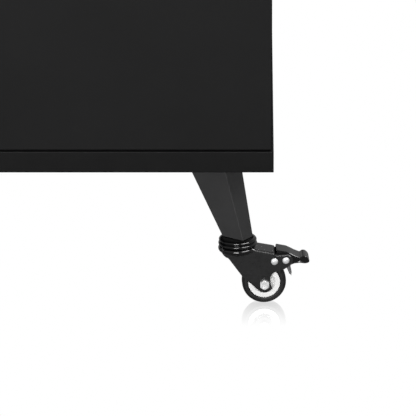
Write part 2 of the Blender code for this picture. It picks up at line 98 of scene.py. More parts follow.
def roundEdges(piece, width, segments=2, angle=35):
    edge = piece.modifiers.new("rounding", "BEVEL")
    edge.width = width
    edge.segments = segments
    edge.limit_method = "ANGLE"
    edge.angle_limit = math.radians(angle)
    applyModifier(piece, edge)


def combine(piece, other, operation):
    step = piece.modifiers.new("combine", "BOOLEAN")
    step.operation = operation
    step.solver = "EXACT"
    step.object = other
    applyModifier(piece, step)
    makeActive(other)
    bpy.ops.object.delete()


def closeSeams(piece):
    # merges the near-double points that joining and cutting leave, and fills what is left open
    startEdit(piece, "VERT")
    bpy.ops.mesh.select_all(action="SELECT")
    bpy.ops.mesh.remove_doubles(threshold=0.00001)
    bpy.ops.mesh.dissolve_degenerate(threshold=0.000005)
    bpy.ops.mesh.select_all(action="SELECT")
    bpy.ops.mesh.fill_holes(sides=4)
    bpy.ops.mesh.select_all(action="SELECT")
    bpy.ops.mesh.normals_make_consistent(inside=False)
    endEdit()


def evenShading(piece, angle=35):
    makeActive(piece)
    bpy.ops.object.shade_smooth_by_angle(angle=math.radians(angle))
    weigh = piece.modifiers.new("weigh", "WEIGHTED_NORMAL")
    weigh.keep_sharp = True
    applyModifier(piece, weigh)


def block(name, middle, size):
    clearSelection()
    bpy.ops.mesh.primitive_cube_add(size=1, location=middle, scale=size)
    piece = bpy.context.object
    piece.name = name
    applyPlace(piece)
    return piece


def drawLine(name, spots):
    # one vertex, extruded from spot to spot, left in edit mode with everything selected
    clearSelection()
    bpy.ops.mesh.primitive_plane_add(size=0.001, location=spots[0])
    piece = bpy.context.object
    piece.name = name
    applyPlace(piece)
    bpy.ops.object.mode_set(mode="EDIT")
    bpy.ops.mesh.select_mode(type="VERT")
    bpy.ops.mesh.select_all(action="SELECT")
    bpy.ops.mesh.merge(type="CENTER")
    for here, there in zip(spots, spots[1:]):
        step = Vector(there) - Vector(here)
        bpy.ops.mesh.extrude_region_move(TRANSFORM_OT_translate={"value": step})
    bpy.ops.mesh.select_all(action="SELECT")
    return piece


def plate(name, points, low, high):
    # a flat outline in the side view, extruded across from low to high
    piece = drawLine(name, [(x, low, z) for x, z in points])
    bpy.ops.mesh.edge_face_add()
    bpy.ops.mesh.extrude_region_move(TRANSFORM_OT_translate={"value": (0, high - low, 0)})
    bpy.ops.mesh.select_all(action="SELECT")
    bpy.ops.mesh.normals_make_consistent(inside=False)
    endEdit()
    return piece


def joinAll(pieces):
    # joins pieces into the last of them
    clearSelection()
    for piece in pieces:
        piece.select_set(True)
    bpy.context.view_layer.objects.active = pieces[-1]
    bpy.ops.object.join()
    applyPlace(pieces[-1])
    return pieces[-1]


def turned(name, rings, steps, across=None):
    # rings of (radius, place along the axis) turned about Z, or about Y through the point across
    if across:
        spots = [(across[0] + radius, along, across[1]) for radius, along in rings]
        center, axis = (across[0], 0, across[1]), (0, 1, 0)
    else:
        spots = [(radius, 0, along) for radius, along in rings]
        center, axis = (0, 0, 0), (0, 0, 1)
    piece = drawLine(name, spots)
    bpy.ops.mesh.spin(steps=steps, angle=2 * math.pi, center=center, axis=axis)
    bpy.ops.mesh.select_all(action="SELECT")
    bpy.ops.mesh.remove_doubles(threshold=0.00002)
    bpy.ops.mesh.normals_make_consistent(inside=False)
    endEdit()
    return piece


def mirrored(half):
    return half + [(radius, -along) for radius, along in reversed(half)]


def arc(center, radius, start, end, count):
    turns = [math.radians(start + (end - start) * i / count) for i in range(count + 1)]
    return [(center[0] + radius * math.cos(t), center[1] + radius * math.sin(t)) for t in turns]


def offset(origin, *steps):
    return [(origin[0] + x, origin[1] + z) for x, z in steps]


def middle(node):
    low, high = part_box(node)
    return (low + high) / 2


def softCorners(points, reach, sharper=20, steps=4):
    # rounds each corner of a closed outline that turns by more than sharper degrees
    longest = 0.45  # the share of a side that one rounding may take
    soft = []
    for i, spot in enumerate(points):
        here = Vector(spot)
        before = Vector(points[i - 1]) - here
        after = Vector(points[(i + 1) % len(points)]) - here
        if math.degrees(math.pi - before.angle(after)) < sharper:
            soft.append(tuple(here))
            continue
        start = here + before.normalized() * min(reach, longest * before.length)
        end = here + after.normalized() * min(reach, longest * after.length)
        for k in range(steps + 1):
            t = k / steps
            soft.append(tuple(start * (1 - t) ** 2 + here * 2 * t * (1 - t) + end * t * t))
    return soft


def camel(words):
    first, *others = words.split("_")
    return first + "".join(word.capitalize() for word in others)


def settle(piece, node, finishes):
    # gives a finished piece its name, body, finish and the CAD node that it stands for
    piece.name = camel(node)
    piece.data.name = piece.name
    for finish in finishes:
        if finish.name not in piece.data.materials:
            piece.data.materials.append(finish)
    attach(piece, bodyOf[node])
    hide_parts(node)


def makeFinish(name, look):
    # colour and roughness drift a little over the surface, and a fine grain stands on it
    finish = bpy.data.materials.new(name)
    finish.use_nodes = True
    nodes, links = finish.node_tree.nodes, finish.node_tree.links
    shader = nodes["Principled BSDF"]
    shader.inputs["Metallic"].default_value = look.get("metallic", 0)
    shader.inputs["Specular IOR Level"].default_value = look.get("specular", 0.5)
    shader.inputs["Coat Weight"].default_value = look.get("coat", 0)
    shader.inputs["Coat Roughness"].default_value = look.get("coatRoughness", 0.1)
    places = nodes.new("ShaderNodeTexCoord")
    mapping = nodes.new("ShaderNodeMapping")
    mapping.inputs["Scale"].default_value = look.get("stretch", (1, 1, 1))
    links.new(places.outputs["Object"], mapping.inputs["Vector"])

    def noise(scale, detail):
        made = nodes.new("ShaderNodeTexNoise")
        made.inputs["Scale"].default_value = scale
        made.inputs["Detail"].default_value = detail
        links.new(mapping.outputs["Vector"], made.inputs["Vector"])
        return made

    cloud = noise(look["cloudScale"], 3)
    ramp = nodes.new("ShaderNodeValToRGB")
    ramp.color_ramp.elements[0].position = 0.35
    ramp.color_ramp.elements[1].position = 0.65
    ramp.color_ramp.elements[0].color = (*look["dark"], 1)
    ramp.color_ramp.elements[1].color = (*look["light"], 1)
    links.new(cloud.outputs["Fac"], ramp.inputs["Fac"])
    links.new(ramp.outputs["Color"], shader.inputs["Base Color"])

    rub = noise(look["rubScale"], 4)
    spread = nodes.new("ShaderNodeMapRange")
    spread.inputs["From Min"].default_value = 0.3
    spread.inputs["From Max"].default_value = 0.7
    spread.inputs["To Min"].default_value = look["roughness"][0]
    spread.inputs["To Max"].default_value = look["roughness"][1]
    links.new(rub.outputs["Fac"], spread.inputs["Value"])
    links.new(spread.outputs["Result"], shader.inputs["Roughness"])

    if look.get("pebble"):
        grain = nodes.new("ShaderNodeTexVoronoi")
        grain.feature = "SMOOTH_F1"
        grain.inputs["Scale"].default_value = look["grainScale"]
        grain.inputs["Smoothness"].default_value = 0.6
        links.new(mapping.outputs["Vector"], grain.inputs["Vector"])
        height = grain.outputs["Distance"]
    else:
        height = noise(look["grainScale"], 2).outputs["Fac"]
    bump = nodes.new("ShaderNodeBump")
    bump.inputs["Strength"].default_value = look["grainStrength"]
    bump.inputs["Distance"].default_value = look["grainDepth"]
    links.new(height, bump.inputs["Height"])
    links.new(bump.outputs["Normal"], shader.inputs["Normal"])
    return finish


laminate = makeFinish("blackLaminate", {
    "dark": (0.0070, 0.0070, 0.0072), "light": (0.0081, 0.0081, 0.0083), "cloudScale": 9,
    "roughness": (0.47, 0.50), "rubScale": 60, "specular": 0.12,
    "grainScale": 900, "grainStrength": 0.25, "grainDepth": 0.00005, "pebble": True,
})
edgeBand = makeFinish("blackEdgeBand", {
    "dark": (0.0048, 0.0048, 0.0049), "light": (0.0057, 0.0057, 0.0058), "cloudScale": 24,
    "roughness": (0.43, 0.47), "rubScale": 90, "specular": 0.12,
    "grainScale": 1200, "grainStrength": 0.2, "grainDepth": 0.00004,
})
powderCoat = makeFinish("blackPowderCoat", {
    "dark": (0.0290, 0.0290, 0.0294), "light": (0.0330, 0.0330, 0.0335), "cloudScale": 40,
    "roughness": (0.48, 0.60), "rubScale": 150, "specular": 0.30,
    "grainScale": 1100, "grainStrength": 0.35, "grainDepth": 0.00006,
})
# gloss black paint of the races; on the fork heads' rims, the same steel as the cheeks, its darker colour is
# painted shade
glossPaintAndRimShade = makeFinish("glossBlackPaintAndRimShade", {
    "dark": (0.0020, 0.0020, 0.0021), "light": (0.0028, 0.0028, 0.0029), "cloudScale": 60,
    "roughness": (0.05, 0.09), "rubScale": 240, "specular": 0.6,
    "grainScale": 420, "grainStrength": 0.22, "grainDepth": 0.00007,
})
forkPaint = makeFinish("satinForkPaint", {
    "dark": (0.0105, 0.0105, 0.0107), "light": (0.0130, 0.0130, 0.0133), "cloudScale": 60,
    "roughness": (0.26, 0.34), "rubScale": 240, "specular": 0.5,
    "grainScale": 700, "grainStrength": 0.22, "grainDepth": 0.00005,
})
pedalPaint = makeFinish("glossBlackPedal", {
    "dark": (0.0030, 0.0030, 0.0031), "light": (0.0045, 0.0045, 0.0047), "cloudScale": 80,
    "roughness": (0.10, 0.18), "rubScale": 300, "specular": 0.5,
    "grainScale": 900, "grainStrength": 0.3, "grainDepth": 0.00006,
})
brightZinc = makeFinish("brightZinc", {
    "dark": (0.66, 0.67, 0.68), "light": (0.80, 0.80, 0.80), "cloudScale": 260,
    "roughness": (0.48, 0.60), "rubScale": 700, "metallic": 0.60,
    "grainScale": 1500, "grainStrength": 0.2, "grainDepth": 0.00004, "stretch": (1, 1, 2.4),
})
springSteel = makeFinish("springSteel", {
    "dark": (0.20, 0.20, 0.205), "light": (0.34, 0.34, 0.345), "cloudScale": 420,
    "roughness": (0.28, 0.44), "rubScale": 800, "metallic": 1.0,
    "grainScale": 1500, "grainStrength": 0.3, "grainDepth": 0.00005, "stretch": (1, 1, 0.4),
})
whiteNylon = makeFinish("whiteNylon", {
    "dark": (0.84, 0.84, 0.835), "light": (0.89, 0.89, 0.885), "cloudScale": 120,
    "roughness": (0.34, 0.46), "rubScale": 200, "specular": 0.5,
    "grainScale": 700, "grainStrength": 0.15, "grainDepth": 0.00004,
})
treadRubber = makeFinish("blackTread", {
    "dark": (0.0065, 0.0065, 0.0067), "light": (0.0100, 0.0099, 0.0097), "cloudScale": 130,
    "roughness": (0.38, 0.55), "rubScale": 260, "specular": 0.38,
    "grainScale": 1600, "grainStrength": 0.4, "grainDepth": 0.00006, "pebble": True,
})


boards = {
    "edgeRadius": 0.0009,
    "bandInset": 0.00055,  # how far the edge band shows past the rounded edge
    "deskSlope": math.radians(14),
    "deskThickness": 0.018,
    "stopThickness": 0.015,
    "pinHoleRadius": 0.0028,
    "pinHoleDepth": 0.0083,
    "pinHoleRows": 5,
    "pinHolePitch": 0.064,
    "pinRowFromBottom": 2,  # the row that carries the adjustable shelf
}


def makeBoard(node, size, place, tilt=0, topDrop=0, pinHoles=None):
    # a laminated board with rounded edges; the band on its edges shows as a thin line round the faces
    piece = block(node, (0, 0, 0), size)
    if topDrop:
        startEdit(piece, "VERT")
        pick(piece, "verts", lambda v: v.co.z > 0 and v.co.y > 0)
        bpy.ops.transform.translate(value=(0, 0, -topDrop))
        endEdit()
    thin = min(range(3), key=lambda axis: size[axis])
    faceArea = size[(thin + 1) % 3] * size[(thin + 2) % 3]
    roundEdges(piece, boards["edgeRadius"], 3)
    startEdit(piece, "FACE")
    pick(piece, "faces", lambda f: abs(f.normal[thin]) > 0.99)
    bpy.ops.mesh.inset(thickness=boards["bandInset"], depth=0)
    endEdit()
    piece.data.materials.append(laminate)
    piece.data.materials.append(edgeBand)
    startEdit(piece, "FACE")
    pick(piece, "faces", lambda f: abs(f.normal[thin]) <= 0.99 or f.calc_area() <= 0.3 * faceArea)
    piece.active_material_index = 1
    bpy.ops.object.material_slot_assign()
    endEdit()
    evenShading(piece)
    piece.rotation_euler.x = -tilt
    piece.location = place
    applyPlace(piece)
    if pinHoles:
        combine(piece, pinHoles, "DIFFERENCE")
    settle(piece, node, [laminate, edgeBand])


def makeSquareBoard(node, **extra):
    low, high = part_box(node)
    makeBoard(node, high - low, middle(node), **extra)


def makeTiltedBoard(node, thickness):
    # the desk's length and the stop's height follow from how far each reaches in its box
    low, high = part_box(node)
    slope, reach = boards["deskSlope"], high - low
    if node == "desk_top":
        tall = thickness
        long = (reach.y - tall * math.sin(slope)) / math.cos(slope)
    else:
        long = thickness
        tall = (reach.z - long * math.sin(slope)) / math.cos(slope)
    makeBoard(node, Vector((reach.x, long, tall)), middle(node), tilt=slope)


def pinHoleCutter(side):
    # round pegs through the side panel's inner face, in two upright lines
    lowPanel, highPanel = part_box(f"side_panel_{side}")
    inner = lowPanel.x if side == "right" else highPanel.x
    pegs = []
    for row in ("front", "rear"):
        pin = middle(f"shelf_pin_{row}_{side}")
        for k in range(boards["pinHoleRows"]):
            z = pin.z + (k - boards["pinRowFromBottom"]) * boards["pinHolePitch"]
            clearSelection()
            bpy.ops.mesh.primitive_cylinder_add(
                vertices=20, radius=boards["pinHoleRadius"], depth=2 * boards["pinHoleDepth"],
                location=(inner, pin.y, z), rotation=(0, math.pi / 2, 0),
            )
            pegs.append(bpy.context.object)
    return joinAll(pegs)


makeSquareBoard("base_board")
lowFront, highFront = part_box("front_panel")
makeSquareBoard("front_panel", topDrop=(highFront.y - lowFront.y) * math.tan(boards["deskSlope"]))
for side in ("left", "right"):
    lowSide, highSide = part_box(f"side_panel_{side}")
    drop = (highSide.y - lowSide.y) * math.tan(boards["deskSlope"])
    makeSquareBoard(f"side_panel_{side}", topDrop=drop, pinHoles=pinHoleCutter(side))
for node in ("fixed_shelf", "adjustable_shelf"):
    makeSquareBoard(node)
makeTiltedBoard("desk_top", boards["deskThickness"])
makeTiltedBoard("book_stop", boards["stopThickness"])
print("cabinet boards made")


shelfPin = {
    "edge": 0.0006,
    "neck": 0.0004,  # the groove's depth
    "neckReach": (0.0016, 0.0010),  # the groove's half width at its top and at its floor
    "sides": 20,
}


def makeShelfPin(node):
    # a round peg with a groove where it meets the panel
    low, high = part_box(node)
    half, radius = (high.x - low.x) / 2, (high.z - low.z) / 2
    edge, neck = shelfPin["edge"], shelfPin["neck"]
    outer, inner = shelfPin["neckReach"]
    rings = [(0, half), (radius - edge, half), (radius, half - edge), (radius, outer), (radius - neck, inner)]
    pin = turned(node, mirrored(rings), shelfPin["sides"])
    pin.rotation_euler.y = math.pi / 2
    pin.location = middle(node)
    applyPlace(pin)
    evenShading(pin)
    settle(pin, node, [brightZinc])


for side in ("left", "right"):
    for row in ("front", "rear"):
        makeShelfPin(f"shelf_pin_{row}_{side}")
print("shelf pins made")


leg = {
    "foot": (0.0285, 0.0198),
    "head": (0.0556, 0.0333),
    "splay": 0.0299,  # the head stands this far inward of the foot, both ways
    "turn": math.radians(35),
    "edgeRadius": 0.0006,
}
legPlate = {
    "cornerRadius": 0.006,
    "edge": 0.0005,
    "screwInset": 0.0085,
    "screwHeadRadius": 0.0042,
    "screwHeadHeight": 0.0019,
    "screwSink": 0.0004,  # how far the head reaches into the plate
    "slotLength": 0.0044,
    "slotWidth": 0.0009,
    "slotDepth": 0.0011,
}


def makeLeg(corner, signX, signY):
    # a four-sided leg, modelled solid, that narrows towards the foot, leaning outward and turned about its own
    # length
    node = f"leg_{corner}"
    low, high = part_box(node)
    foot = middle(f"caster_mount_{corner}")
    turn = leg["turn"] * signX * signY
    piece = block(node, (foot.x, foot.y, (low.z + high.z) / 2), (1, 1, high.z - low.z))
    startEdit(piece, "VERT")
    for end, reach, lean in ((low.z, leg["foot"], 0), (high.z, leg["head"], leg["splay"])):
        bpy.ops.mesh.select_all(action="DESELECT")
        pick(piece, "verts", lambda v: abs(v.co.z - end) < 0.001)
        here = (foot.x, foot.y, end)
        bpy.ops.transform.resize(value=(reach[0], reach[1], 1), center_override=here)
        bpy.ops.transform.rotate(value=-turn, orient_axis="Z", center_override=here)
        bpy.ops.transform.translate(value=(-signX * lean, -signY * lean, 0))
    endEdit()
    roundEdges(piece, leg["edgeRadius"], 3)
    evenShading(piece)
    settle(piece, node, [powderCoat])


def makeScrewHead():
    # a low dome with a cross slot, its top facing down
    radius, height, sink = legPlate["screwHeadRadius"], legPlate["screwHeadHeight"], legPlate["screwSink"]
    rings = [(0, -height), (radius * 0.45, -height * 0.94), (radius * 0.8, -height * 0.66)]
    rings += [(radius, -height * 0.2), (radius, sink), (0, sink)]
    head = turned("screw", rings, 24)
    wide, long, deep = legPlate["slotWidth"], legPlate["slotLength"], 2 * legPlate["slotDepth"]
    for size in ((wide, long, deep), (long, wide, deep)):
        combine(head, block("slot", (0, 0, -height), size), "DIFFERENCE")
    return head


def makeLegPlate(corner):
    node = f"leg_plate_{corner}"
    low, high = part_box(node)
    spot, inset = middle(node), legPlate["screwInset"]
    piece = block(node, spot, high - low)
    startEdit(piece, "EDGE")
    pick(piece, "edges", lambda e: abs(e.verts[0].co.z - e.verts[1].co.z) > 0.001)
    bpy.ops.mesh.bevel(offset=legPlate["cornerRadius"], segments=6, affect="EDGES")
    endEdit()
    roundEdges(piece, legPlate["edge"], 2, 50)
    for x in (low.x + inset, high.x - inset):
        for y in (low.y + inset, high.y - inset):
            head = makeScrewHead()
            head.rotation_euler.z = math.radians(20 + 37 * (x > spot.x) + 16 * (y > spot.y))  # each its own way
            head.location = (x, y, low.z)
            applyPlace(head)
            combine(piece, head, "UNION")
    evenShading(piece)
    settle(piece, node, [powderCoat])


for corner in corners:
    signX = 1 if corner.endswith("right") else -1
    signY = 1 if corner.startswith("rear") else -1
    makeLeg(corner, signX, signY)
    makeLegPlate(corner)
print("legs and plates made")


# the casters are modelled in the side view: X along the trail from the swivel axis, Z up
mount = middle("caster_mount_front_right")
wheelSpot = middle("tread_front_right")
lowTread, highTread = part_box("tread_front_right")
wheelRadius = (highTread.z - lowTread.z) / 2
trail = math.hypot(wheelSpot.x - mount.x, wheelSpot.y - mount.y)
axle = (trail, wheelSpot.z)
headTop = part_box("fork_front_right")[1].z
head = (0, headTop)
forkRoof = 0.0022  # the wall between the race and the kingpin's head
pivot = (trail + wheelRadius - 0.0137, 2 * wheelRadius + 0.0022)  # the pedal turns here
stopFromPivot = (0.0130, 0.0009)
stop = (pivot[0] + stopFromPivot[0], pivot[1] + stopFromPivot[1])
rivetHole = 0.0021  # radius


def handOut(piece, stem, where=corners):
    # a copy with its own mesh for each corner, turned and moved to that corner's swivel axis
    for corner in where:
        at, wheel = middle(f"caster_mount_{corner}"), middle(f"tread_{corner}")
        makeActive(piece)
        bpy.ops.object.duplicate(linked=False)
        copy = bpy.context.object
        copy.rotation_euler.z = math.atan2(wheel.y - at.y, wheel.x - at.x)
        copy.location = (at.x, at.y, 0)
        applyPlace(copy)
        settle(copy, f"{stem}_{corner}", list(piece.data.materials))
    makeActive(piece)
    bpy.ops.object.delete()


race = {
    "radius": 0.0220,
    "height": 0.0090,
    "recess": 0.0034,
    "recessRadius": 0.0181,
    "stemRadius": 0.0040,
    "stemTop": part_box("caster_mount_front_right")[1].z,
    "pinHeadRadius": 0.0078,
    "pinHeadHeight": 0.0016,
}


def makeRace():
    # the upper race with a raised lip and a waist, its stem above and the riveted kingpin below
    low, r = headTop + gap, race["radius"]
    top = low + race["height"]
    stem, stemTop = race["stemRadius"], race["stemTop"]
    pinTop, pinHead = headTop - forkRoof - gap, race["pinHeadRadius"]
    rings = [(0, stemTop), (stem - 0.0006, stemTop), (stem, stemTop - 0.0006), (stem, top)]
    rings += [(r - 0.0046, top), (r - 0.0030, top - 0.0002), (r - 0.0017, top - 0.0008)]
    rings += [(r - 0.0008, top - 0.0017), (r - 0.0005, top - 0.0027), (r - 0.0008, top - 0.0036)]
    rings += [(r - 0.0016, top - 0.0043), (r - 0.0017, top - 0.0048), (r - 0.0007, top - 0.0055)]
    rings += [(r - 0.0001, top - 0.0063), (r, top - 0.0072), (r - 0.0003, top - 0.0081), (r - 0.0011, low)]
    rings += [(race["recessRadius"], low), (race["recessRadius"], low + race["recess"])]
    rings += [(stem, low + race["recess"]), (stem, pinTop), (pinHead, pinTop)]
    rings += [(pinHead, pinTop - 0.0007), (pinHead - 0.0014, pinTop - race["pinHeadHeight"])]
    rings += [(0, pinTop - race["pinHeadHeight"])]
    piece = turned("race", rings, 72)
    evenShading(piece, 50)
    piece.data.materials.append(glossPaintAndRimShade)
    handOut(piece, "caster_mount")


ballRing = {
    "circle": 0.0149,  # the radius of the ring of ball centres
    "balls": 15,
    "ballRadius": 0.00145,
    "cageHalfWidth": 0.0024,
    "cageHalfHeight": 0.0004,
}


def makeBallRing():
    # steel balls held by a flat cage, in the race's recess
    radius, circle = ballRing["ballRadius"], ballRing["circle"]
    level = headTop + gap + radius
    balls = []
    for k in range(ballRing["balls"]):
        turn = 2 * math.pi * k / ballRing["balls"]
        clearSelection()
        bpy.ops.mesh.primitive_uv_sphere_add(
            segments=16, ring_count=8, radius=radius,
            location=(circle * math.cos(turn), circle * math.sin(turn), level),
        )
        balls.append(bpy.context.object)
    wide, tall = ballRing["cageHalfWidth"], ballRing["cageHalfHeight"]
    rings = [(circle - wide, level + tall), (circle + wide, level + tall)]
    rings += [(circle + wide, level - tall), (circle - wide, level - tall)]
    ring = joinAll(balls + [turned("cage", rings + rings[:1], 48)])
    evenShading(ring)
    ring.data.materials.append(brightZinc)
    handOut(ring, "ball_ring")


fork = {
    "halfWidth": 0.0142,
    "wall": 0.0020,
    "headRadius": 0.0222,
    "bendRadius": 0.0024,
    "bossRadius": 0.0100,
    "lobeRadius": 0.0078,
    "cornerReach": 0.0025,
    "roofEnd": (0.0001, 0.0102),  # the roof's end, seen from the pedal's pivot
    "kingpinHole": 0.0043,  # radius
    "axleHole": 0.0033,  # radius
    "skirt": (  # how the head runs into the cheeks: depth, half length, half width
        (0.0062, 0.0213, 0.0200), (0.0070, 0.0206, 0.0178), (0.0080, 0.0197, 0.0160),
        (0.0092, 0.0185, 0.0147), (0.0108, 0.0168, 0.0141), (0.0130, 0.0149, 0.0139),
        (0.0150, 0.0137, 0.0137),
    ),
}


def cheekOutline(locking):
    # the fork's side view; the lobe that carries the pedal is on the locking forks only
    rear = -fork["headRadius"] + 0.0035
    points = offset(head, (rear, 0), (rear, -0.0060), (-0.0142, -0.0108), (-0.0114, -0.0117))
    points += offset(axle, (-0.0254, 0.0100))
    points += arc(axle, fork["bossRadius"], 215, 330, 20)
    if locking:
        points += offset(axle, (0.0071, -0.0005), (0.0065, 0.0040), (0.0068, 0.0085), (0.0083, 0.0120))
        points += offset(pivot, (0, -0.0130), (0.0060, -0.0113), (0.0102, -0.0100), (0.0157, -0.0067))
        points += arc(stop, fork["lobeRadius"], -45, 80, 16)
        points += offset(pivot, (0.0015, 0.0078))
    else:
        points += offset(axle, (0.0088, 0.0040), (0.0098, 0.0280))
    points += offset(pivot, fork["roofEnd"])
    points += offset(head, (0.0205, -0.0024), (0.0150, 0))
    return points


def makeHead(wall):
    # the round head, or its hollow when a wall is given: turned, then the skirt's rings are squeezed
    r = fork["headRadius"]
    rings = [(r - 0.0044, 0), (r - 0.0026, 0.0003), (r - 0.0012, 0.0011)]
    rings += [(r - 0.0003, 0.0024), (r, 0.0038), (r - 0.0004, 0.0054)]
    if wall:
        rings = [(r - 0.0010, forkRoof)] + [ring for ring in rings if ring[1] > forkRoof + 0.0010]
    rings += [(long, down) for down, long, wide in fork["skirt"]]
    rings = [(radius - wall, headTop - down) for radius, down in rings]
    piece = turned("head", [(0, rings[0][1])] + rings + [(0, rings[-1][1])], 96)
    startEdit(piece, "VERT")
    for down, long, wide in fork["skirt"]:
        height = headTop - down
        bpy.ops.mesh.select_all(action="DESELECT")
        pick(piece, "verts", lambda v: abs(v.co.z - height) < 0.00001)
        squeeze = (wide - wall) / (long - wall)
        bpy.ops.transform.resize(value=(1, squeeze, 1), center_override=(0, 0, height))
    endEdit()
    return piece


def drilled(piece, spot, radius):
    # a round hole across the piece
    reach = 0.02
    hole = turned("hole", [(0, -reach), (radius, -reach), (radius, reach), (0, reach)], 28, spot)
    combine(piece, hole, "DIFFERENCE")


def makeFork(locking):
    # a pressed channel: the block's upper edges are bent round, the head is joined on,
    # and the space for the wheel and the head's hollow are cut out
    half, wall, r = fork["halfWidth"], fork["wall"], fork["headRadius"]
    piece = plate("fork", softCorners(cheekOutline(locking), fork["cornerReach"], 24), -half, half)
    shortest = 0 if locking else 0.003  # a plain fork's short corner edges stay sharp
    startEdit(piece, "EDGE")
    pick(piece, "edges", lambda e: len(e.link_faces) == 2 and e.calc_length() > shortest
         and max(f.normal.z for f in e.link_faces) > 0.7
         and max(abs(f.normal.y) for f in e.link_faces) > 0.9)
    bpy.ops.mesh.bevel(offset=fork["bendRadius"], segments=5, affect="EDGES", clamp_overlap=False)
    endEdit()
    combine(piece, makeHead(0), "UNION")
    roof, wellPast = headTop - forkRoof, 0.12
    endX, endZ = offset(pivot, fork["roofEnd"])[0]
    inside = [(0.0150, roof), (-r * 0.75, roof), (-r * 0.75, 0), (wellPast, 0), (wellPast, headTop)]
    inside += [(endX + gap, headTop), (endX + gap, endZ - forkRoof)]
    combine(piece, plate("channel", inside, wall - half, half - wall), "DIFFERENCE")
    combine(piece, makeHead(wall), "DIFFERENCE")
    kingpin = [(0, 0), (fork["kingpinHole"], 0), (fork["kingpinHole"], 0.1), (0, 0.1)]
    combine(piece, turned("kingpinHole", kingpin, 32), "DIFFERENCE")
    drilled(piece, axle, fork["axleHole"])
    if locking:
        for spot in (pivot, stop):
            drilled(piece, spot, rivetHole)
    closeSeams(piece)
    evenShading(piece, 30)
    piece.data.materials.append(forkPaint)
    piece.data.materials.append(glossPaintAndRimShade)
    # painted shade: the rim's faces get the darker gloss paint, standing in for the dark reflections on the
    # rolled rim
    for face in piece.data.polygons:  # the head's rolled rim is glossier than the pressed cheeks, and painted darker as shade, though it is the same pressed steel
        x, y, z = face.center
        paintedRimShade = r - 0.0080 < math.hypot(x, y) < r + 0.0002 and z > headTop - 0.0050
        face.material_index = 1 if paintedRimShade else 0
    handOut(piece, "fork", corners[:2] if locking else corners[2:])


bolt = {
    "radius": 0.0030,
    "acrossFlats": 0.0100,
    "headThickness": 0.0040,
    "nutThickness": 0.0050,
    "end": 0.0015,  # what stands out of the nut
    "overlap": 0.0030,  # how far the shank reaches into the head
    "threadPitch": 0.0010,
    "threadDepth": 0.0005,
    "threadReach": 0.0060,  # how far the thread runs in under the nut's face
    "chamfer": 0.0008,
    "dish": ((0.0031, 0.00005), (0.0027, 0.0004), (0, 0.0005)),  # radius, depth
    "sleeveWall": 0.0014,
}
cheekFace = fork["halfWidth"] + gap
nutEnd = cheekFace + bolt["nutThickness"]


def hexagon(name, low, high, chamferLow, chamferHigh):
    # a hexagon bar across the fork, its corners turned off at the chosen ends
    clearSelection()
    wide = bolt["acrossFlats"] / math.sqrt(3)
    bpy.ops.mesh.primitive_cylinder_add(
        vertices=6, radius=wide, depth=high - low,
        location=(axle[0], (low + high) / 2, axle[1]), rotation=(math.pi / 2, 0, 0),
    )
    piece = bpy.context.object
    piece.name = name
    applyPlace(piece)
    uncut, flat, fall = wide * 1.1, bolt["acrossFlats"] / 2 - 0.0002, bolt["chamfer"] * 1.2
    rings = [(0, high), (flat if chamferHigh else uncut, high), (uncut, high - fall)]
    rings += [(uncut, low + fall), (flat if chamferLow else uncut, low), (0, low)]
    combine(piece, turned("turnedOff", rings, 60, axle), "INTERSECT")
    return piece


def makeBolt():
    # a shank with turned thread grooves at the nut's end, and a hexagon head with a shallow dish
    r, pitch, depth = bolt["radius"], bolt["threadPitch"], bolt["threadDepth"]
    end, point = nutEnd + bolt["end"], 0.0006
    rings = [(0, end), (r - 0.0007, end), (r, end - point)]
    along = end - point
    while along > nutEnd - bolt["threadReach"]:
        rings += [(r - depth, along - pitch / 2), (r, along - pitch)]
        along -= pitch
    inHead, wellPast = -cheekFace - bolt["overlap"], -0.03
    rings += [(r, inHead), (0, inHead)]
    piece = turned("bolt", rings, 32, axle)
    face = -cheekFace - bolt["headThickness"]
    top = hexagon("boltHead", face, -cheekFace, True, False)
    dish = [(0, wellPast), (bolt["dish"][0][0], wellPast)]
    dish += [(radius, face + deep) for radius, deep in bolt["dish"]]
    combine(top, turned("dish", dish, 32, axle), "DIFFERENCE")
    combine(piece, top, "UNION")
    closeSeams(piece)
    evenShading(piece, 28)
    piece.data.materials.append(brightZinc)
    handOut(piece, "axle_bolt")


def makeNut():
    # a hexagon nut with the turned collar of a locking nut
    nut = hexagon("nut", cheekFace, nutEnd - 0.0010, False, True)
    collar = [(0, nutEnd - 0.0014), (0.0044, nutEnd - 0.0014), (0.0043, nutEnd - 0.0004)]
    collar += [(0.0039, nutEnd), (0, nutEnd)]
    combine(nut, turned("collar", collar, 40, axle), "UNION")
    inner, past = bolt["radius"] + gap, 0.001
    bore = [(0, cheekFace - past), (inner, cheekFace - past), (inner, nutEnd + past), (0, nutEnd + past)]
    combine(nut, turned("bore", bore, 32, axle), "DIFFERENCE")
    evenShading(nut, 28)
    nut.data.materials.append(brightZinc)
    handOut(nut, "axle_nut")


def makeSleeve():
    # the steel tube between the cheeks that the wheel turns on
    half = fork["halfWidth"] - fork["wall"] - gap
    inner = bolt["radius"] + gap
    outer = inner + bolt["sleeveWall"]
    rings = [(inner, half - 0.0002), (inner + 0.0003, half), (outer - 0.0003, half), (outer, half - 0.0003)]
    rings = mirrored(rings)
    sleeve = turned("sleeve", rings + rings[:1], 32, axle)
    evenShading(sleeve)
    sleeve.data.materials.append(brightZinc)
    handOut(sleeve, "axle_sleeve")


wheel = {
    "treadDepth": 0.0067,
    "treadHalfWidth": 0.0090,
    "faceInset": 0.0006,
    "boreRadius": 0.0050,
    "hubRadius": 0.0080,
    "hubReach": 0.0112,
    "dishRadius": 0.0098,
    "dishDepth": 0.0056,  # the dish's floor below the rim's face
    "dishRimRadius": 0.0129,
}
seat = wheelRadius - wheel["treadDepth"]  # where the tread sits on the core


